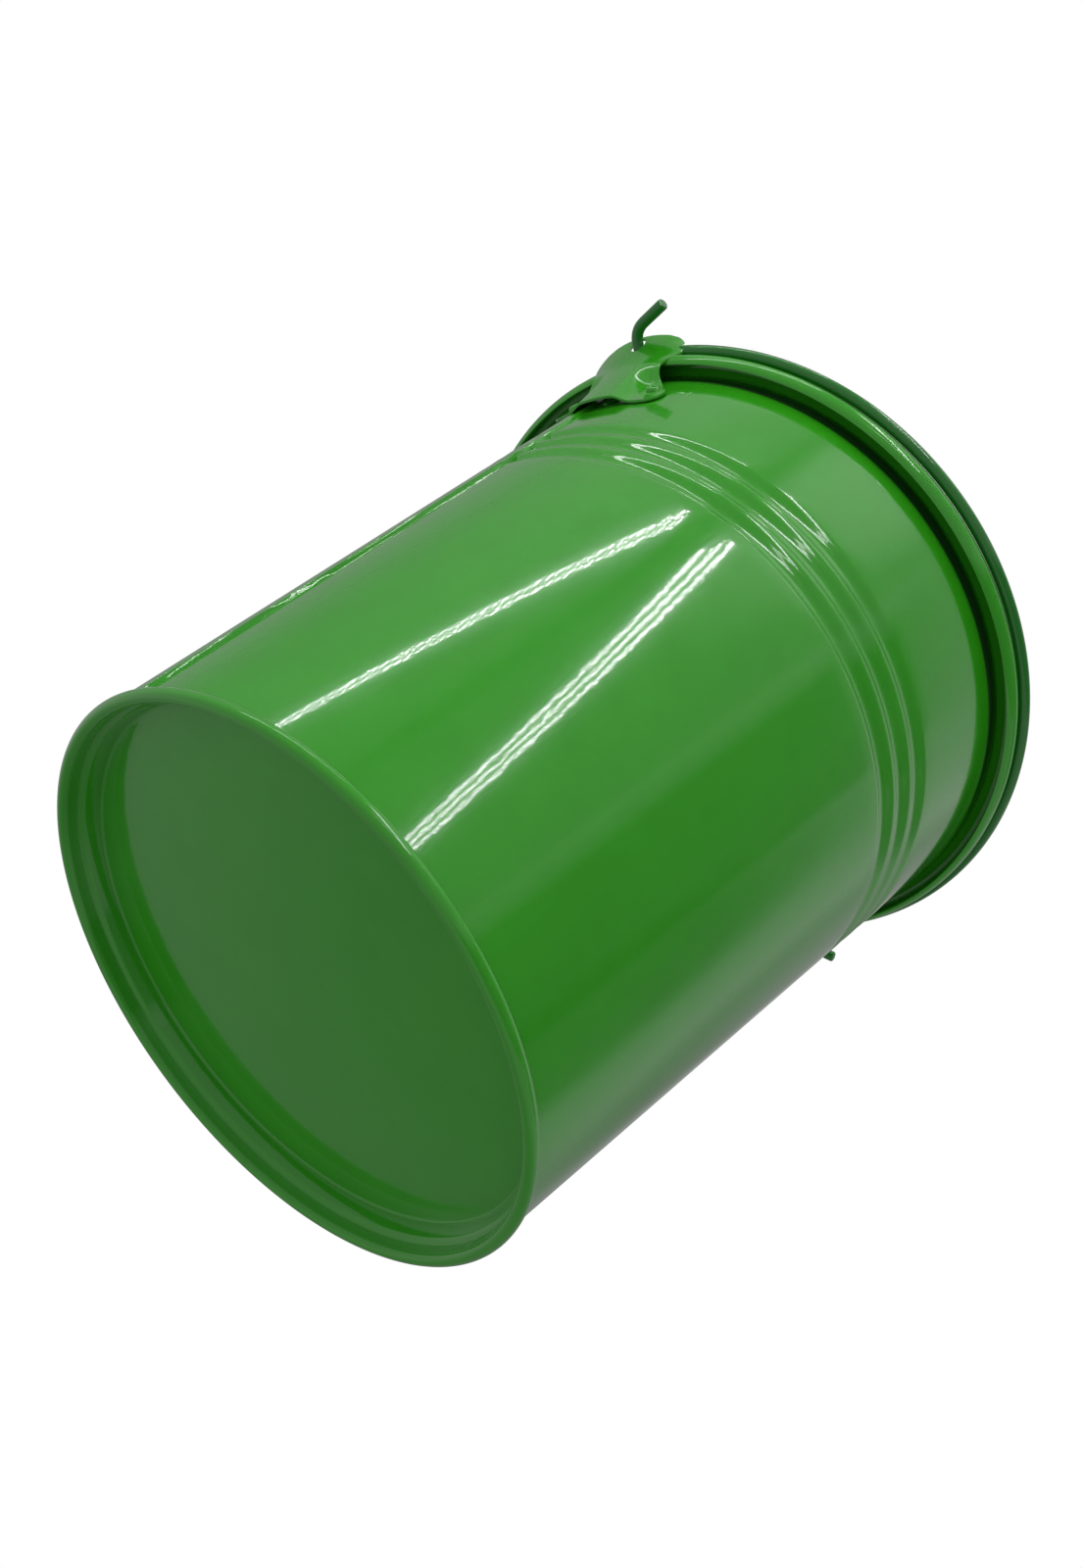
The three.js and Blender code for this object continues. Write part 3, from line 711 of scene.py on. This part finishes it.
class BUCKET_OT_handle(bpy.types.Operator):
    """Build the wire handle with a hook at each end"""

    bl_idname = "bucket.handle"
    bl_label = "Build Handle"

    def execute(self, context):
        route = handle_route()
        sides = 28
        mesh = bmesh.new()
        up = Vector((0, 0, 1))
        rings = []
        last = len(route) - 1
        for i, point in enumerate(route):
            along = (route[min(i + 1, last)] - route[max(i - 1, 0)]).normalized()
            across = up.cross(along)
            rings.append((point, along, across, WIRE_RADIUS))
        rounding = 5
        edge = 0.45 * MM
        for end, sign in ((0, -1), (last, 1)):
            point, along, across, _ = rings[end] if end == 0 else rings[-1]
            caps = []
            for k in range(1, rounding + 1):
                a = math.pi / 2 * k / rounding
                caps.append((point + along * sign * edge * math.sin(a), along, across,
                             WIRE_RADIUS - edge * (1 - math.cos(a))))
            rings = list(reversed(caps)) + rings if end == 0 else rings + caps
        rows = []
        for point, along, across, radius in rings:
            row = []
            for k in range(sides):
                a = 2 * math.pi * k / sides
                row.append(mesh.verts.new(point + across * radius * math.cos(a) + up * radius * math.sin(a)))
            rows.append(row)
        grid_faces(mesh, rows, around=True)
        mesh.faces.new(rows[0])
        mesh.faces.new(rows[-1])
        object_from(mesh, "wire_handle", wire_enamel(), "bail_handle", "handle")
        return {"FINISHED"}


# ---- Stage: camera, floor and lights ----

CAMERA_PLACE = (-80.177 * MM, -158.4 * MM, -86.792 * MM)
CAMERA_RIGHT = (0.2664, -0.7949, 0.5451)
CAMERA_DOWN = (0.9203, 0.0396, -0.3899)


def add_camera():
    """A wide lens close under the bucket, looking up past its bottom."""
    data = bpy.data.cameras.new("camera")
    data.sensor_width = 36
    data.lens = 28.09
    data.shift_x = -0.0698
    data.shift_y = -0.0609
    data.clip_start = 0.01
    camera = bpy.data.objects.new("camera", data)
    right = Vector(CAMERA_RIGHT).normalized()
    up = -Vector(CAMERA_DOWN)
    up = (up - right * up.dot(right)).normalized()
    back = right.cross(up)
    axes = Matrix((right, up, back)).transposed()
    camera.matrix_world = Matrix.Translation(CAMERA_PLACE) @ axes.to_4x4()
    bpy.context.scene.collection.objects.link(camera)
    bpy.context.scene.camera = camera


def add_floor():
    """A pale disc under the bucket, seen from above only, so that the bottom shows from below."""
    mesh = bmesh.new()
    bmesh.ops.create_circle(mesh, cap_ends=True, segments=96, radius=2.5)
    data = bpy.data.meshes.new("floor")
    mesh.to_mesh(data)
    mesh.free()
    floor = bpy.data.objects.new("floor", data)
    floor.location.z = -0.3 * MM
    bpy.context.scene.collection.objects.link(floor)
    material = bpy.data.materials.new("matt_white_paper")
    material.use_nodes = True
    tree = material.node_tree
    tree.nodes.clear()
    side = add_node(tree, "ShaderNodeNewGeometry").outputs["Backfacing"]
    sheet = add_node(tree, "ShaderNodeBsdfDiffuse", {"Color": linear("#f4f4f2")})
    lift = add_node(tree, "ShaderNodeEmission", {"Color": linear("#f4f4f2"), "Strength": 0.42})
    paper = add_node(tree, "ShaderNodeAddShader", links={0: sheet.outputs[0], 1: lift.outputs[0]})
    clear = add_node(tree, "ShaderNodeBsdfTransparent")
    mix = add_node(tree, "ShaderNodeMixShader", links={0: side, 1: paper.outputs[0], 2: clear.outputs[0]})
    add_node(tree, "ShaderNodeOutputMaterial", links={"Surface": mix.outputs[0]})
    data.materials.append(material)
    floor.visible_diffuse = False
    floor.visible_glossy = False
    floor.visible_transmission = False
    floor.visible_shadow = False


def between(tree, value, low, high, soft):
    """1 while a value lies between two angles, in degrees, and 0 outside, with soft edges."""
    edges = []
    for edge, rising in ((low, 1), (high, -1)):
        edges.append(add_node(
            tree, "ShaderNodeMapRange",
            {"interpolation_type": "SMOOTHSTEP", "From Min": math.radians(edge - soft),
             "From Max": math.radians(edge + soft), "To Min": 0.5 - rising / 2, "To Max": 0.5 + rising / 2},
            {"Value": value}).outputs["Result"])
    return add_node(tree, "ShaderNodeMath", {"operation": "MULTIPLY"}, {0: edges[0], 1: edges[1]}).outputs[0]


def near(tree, direction, azimuth, elevation, inner, outer):
    """1 in a cone of directions, in degrees, and 0 outside a wider one."""
    a, e = math.radians(azimuth), math.radians(elevation)
    axis = (math.cos(e) * math.cos(a), math.cos(e) * math.sin(a), math.sin(e))
    dot = add_node(tree, "ShaderNodeVectorMath", {"operation": "DOT_PRODUCT", 1: axis}, {0: direction})
    return add_node(
        tree, "ShaderNodeMapRange",
        {"interpolation_type": "SMOOTHSTEP", "From Min": math.cos(math.radians(outer)),
         "From Max": math.cos(math.radians(inner)), "To Min": 0.0, "To Max": 1.0},
        {"Value": dot.outputs["Value"]}).outputs["Result"]


TENT_WALL = 0.45
# Parts of the tent that are darker or brighter than its cloth. A band is two ranges of azimuth and of
# elevation, the softness of its edges and its gain: the open front, its lit edge, a seam of the cloth.
TENT_BANDS = (((-92, -51), (-60, 44), 2.5, 0.4),
              ((-101, -96), (-20, 46), 2.0, 1.3),
              ((-163, -157), (20, 80), 4.0, 0.6))
# A spot is an azimuth, an elevation, an inner and an outer radius, all in degrees, and its gain.
TENT_SPOTS = ((35, -12, 20, 62, 0.36),
              (112, 35, 12, 42, 0.6),
              (-40, 24, 8, 20, 0.4),
              (14, 42, 8, 20, 0.6),
              (226, 54, 6, 20, 2.2))


def add_world():
    """The white cloth of a light tent, with its front open, against a plain white ground."""
    world = bpy.data.worlds.new("light_tent")
    bpy.context.scene.world = world
    world.use_nodes = True
    tree = world.node_tree
    tree.nodes.clear()
    direction = add_node(tree, "ShaderNodeTexCoord").outputs["Generated"]
    axes = add_node(tree, "ShaderNodeSeparateXYZ", links={0: direction})
    azimuth = add_node(tree, "ShaderNodeMath", {"operation": "ARCTAN2"},
                       {0: axes.outputs["Y"], 1: axes.outputs["X"]}).outputs[0]
    elevation = add_node(tree, "ShaderNodeMath", {"operation": "ARCSINE"}, {0: axes.outputs["Z"]}).outputs[0]
    masks = []
    for sideways, upward, soft, gain in TENT_BANDS:
        across = between(tree, azimuth, *sideways, soft)
        up = between(tree, elevation, *upward, 5)
        both = add_node(tree, "ShaderNodeMath", {"operation": "MULTIPLY"}, {0: across, 1: up}).outputs[0]
        masks.append((both, gain))
    masks += [(near(tree, direction, *spot[:4]), spot[4]) for spot in TENT_SPOTS]
    level = None
    for mask, gain in masks:
        share = add_node(tree, "ShaderNodeMapRange", {"To Min": 1.0, "To Max": gain}, {"Value": mask})
        if level is None:
            level = add_node(tree, "ShaderNodeMath", {"operation": "MULTIPLY", 1: TENT_WALL},
                             {0: share.outputs["Result"]}).outputs[0]
        else:
            level = add_node(tree, "ShaderNodeMath", {"operation": "MULTIPLY"},
                             {0: share.outputs["Result"], 1: level}).outputs[0]
    seen = add_node(tree, "ShaderNodeLightPath").outputs["Is Camera Ray"]
    backdrop = add_node(tree, "ShaderNodeBackground", {"Color": linear("#ffffff"), "Strength": 1.0})
    light = add_node(tree, "ShaderNodeBackground", {"Color": linear("#ffffff")}, {"Strength": level})
    mix = add_node(tree, "ShaderNodeMixShader", links={0: seen, 1: light.outputs[0], 2: backdrop.outputs[0]})
    add_node(tree, "ShaderNodeOutputWorld", links={"Surface": mix.outputs[0]})


# The lamps in the roof of the tent: the ends of each, its width, its rows of chips and how bright it is.
LAMPS = (((-457 * MM, -140 * MM, 455 * MM), (-682 * MM, 210 * MM, 112 * MM), 30 * MM, 2, 9.0),
         ((-401 * MM, -250 * MM, 445 * MM), (-386 * MM, -525 * MM, 176 * MM), 56 * MM, 3, 9.0),
         ((-395 * MM, -535 * MM, 160 * MM), (-540 * MM, -407 * MM, 35 * MM), 30 * MM, 2, 6.0))
LAMP_PITCH = 9 * MM
# Broad lamps with no reflection of their own: name, place in metres and power.
FILLS = (("key_fill", (-0.66, -0.1, 0.34), 1.0),
         ("side_fill", (0.5, -0.42, 0.12), 0.3))


def add_lamp(name, start, end, width, rows, radiance):
    """A strip of small light chips in rows, facing the middle of the bucket."""
    start, end = Vector(start), Vector(end)
    middle = (start + end) / 2
    along = (end - start).normalized()
    facing = (Vector((0, 0, 60 * MM)) - middle).normalized()
    back = -(facing - along * facing.dot(along)).normalized()
    across = back.cross(along)
    data = bpy.data.lights.new(name, "AREA")
    data.shape = "RECTANGLE"
    data.size = (end - start).length
    data.size_y = width
    data.energy = radiance * math.pi * data.size * data.size_y
    data.use_nodes = True
    tree = data.node_tree
    tree.nodes.clear()
    place = add_node(tree, "ShaderNodeSeparateXYZ",
                     links={0: add_node(tree, "ShaderNodeNewGeometry").outputs["Parametric"]})
    waves = []
    for axis, count in (("X", round(data.size / LAMP_PITCH)), ("Y", rows)):
        turn = add_node(tree, "ShaderNodeMath",
                        {"operation": "MULTIPLY_ADD", 1: math.tau * count, 2: -math.pi / 2},
                        {0: place.outputs[axis]})
        wave = add_node(tree, "ShaderNodeMath", {"operation": "SINE"}, {0: turn.outputs[0]})
        waves.append(add_node(tree, "ShaderNodeMapRange",
                             {"From Min": -0.3, "From Max": 0.7, "To Min": 0.02, "To Max": 1.0},
                             {"Value": wave.outputs[0]}).outputs["Result"])
    chips = add_node(tree, "ShaderNodeMath", {"operation": "MULTIPLY"}, {0: waves[0], 1: waves[1]})
    bright = add_node(tree, "ShaderNodeMath", {"operation": "MULTIPLY", 1: 4.5}, {0: chips.outputs[0]})
    glow = add_node(tree, "ShaderNodeEmission", {"Color": linear("#ffffff")}, {"Strength": bright.outputs[0]})
    add_node(tree, "ShaderNodeOutputLight", links={"Surface": glow.outputs[0]})
    lamp = bpy.data.objects.new(name, data)
    lamp.matrix_world = Matrix.Translation(middle) @ Matrix((along, across, back)).transposed().to_4x4()
    bpy.context.scene.collection.objects.link(lamp)


def add_fill(name, place, watts):
    """A broad soft lamp that fills in the light on the paint."""
    place = Vector(place)
    data = bpy.data.lights.new(name, "AREA")
    data.shape = "SQUARE"
    data.size = 0.35
    data.energy = watts
    lamp = bpy.data.objects.new(name, data)
    lamp.location = place
    lamp.rotation_euler = (Vector((0, 0, 70 * MM)) - place).to_track_quat("-Z", "Y").to_euler()
    # It is kept out of the gloss, so that no second window shows beside the strips.
    lamp.visible_glossy = False
    bpy.context.scene.collection.objects.link(lamp)


class BUCKET_OT_stage(bpy.types.Operator):
    """Set up the camera, the floor and the studio light"""

    bl_idname = "bucket.stage"
    bl_label = "Build Stage"

    def execute(self, context):
        context.scene.view_settings.view_transform = "Standard"
        add_camera()
        add_floor()
        add_world()
        for number, lamp in enumerate(LAMPS, 1):
            add_lamp(f"strip_lamp_{number}", *lamp)
        for fill in FILLS:
            add_fill(*fill)
        return {"FINISHED"}


# ---- Panel and registration ----


class BUCKET_PT_panel(bpy.types.Panel):
    """Lists the settings and the steps"""

    bl_idname = "BUCKET_PT_panel"
    bl_label = "Flower Bucket"
    bl_space_type = "VIEW_3D"
    bl_region_type = "UI"
    bl_category = "Bucket"

    def draw(self, context):
        layout = self.layout
        for group in (context.scene.bucket_shape, context.scene.bucket_paint):
            box = layout.box()
            for name in group.__annotations__:
                box.prop(group, name)
        for step in STEPS:
            layout.operator(step.bl_idname)


STEPS = (BUCKET_OT_stage, BUCKET_OT_shell, BUCKET_OT_bottom, BUCKET_OT_ears, BUCKET_OT_rivets,
         BUCKET_OT_handle)
CLASSES = (BucketShape, BucketPaint) + STEPS + (BUCKET_PT_panel,)


def register():
    for item in CLASSES:
        bpy.utils.register_class(item)
    bpy.types.Scene.bucket_shape = bpy.props.PointerProperty(type=BucketShape)
    bpy.types.Scene.bucket_paint = bpy.props.PointerProperty(type=BucketPaint)


def unregister():
    del bpy.types.Scene.bucket_paint
    del bpy.types.Scene.bucket_shape
    for item in reversed(CLASSES):
        bpy.utils.unregister_class(item)


def main():
    """Registers the add-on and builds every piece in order."""
    register()
    bpy.ops.bucket.stage()
    bpy.ops.bucket.shell()
    bpy.ops.bucket.bottom()
    bpy.ops.bucket.ears()
    bpy.ops.bucket.rivets()
    bpy.ops.bucket.handle()


if __name__ == "__main__":
    main()
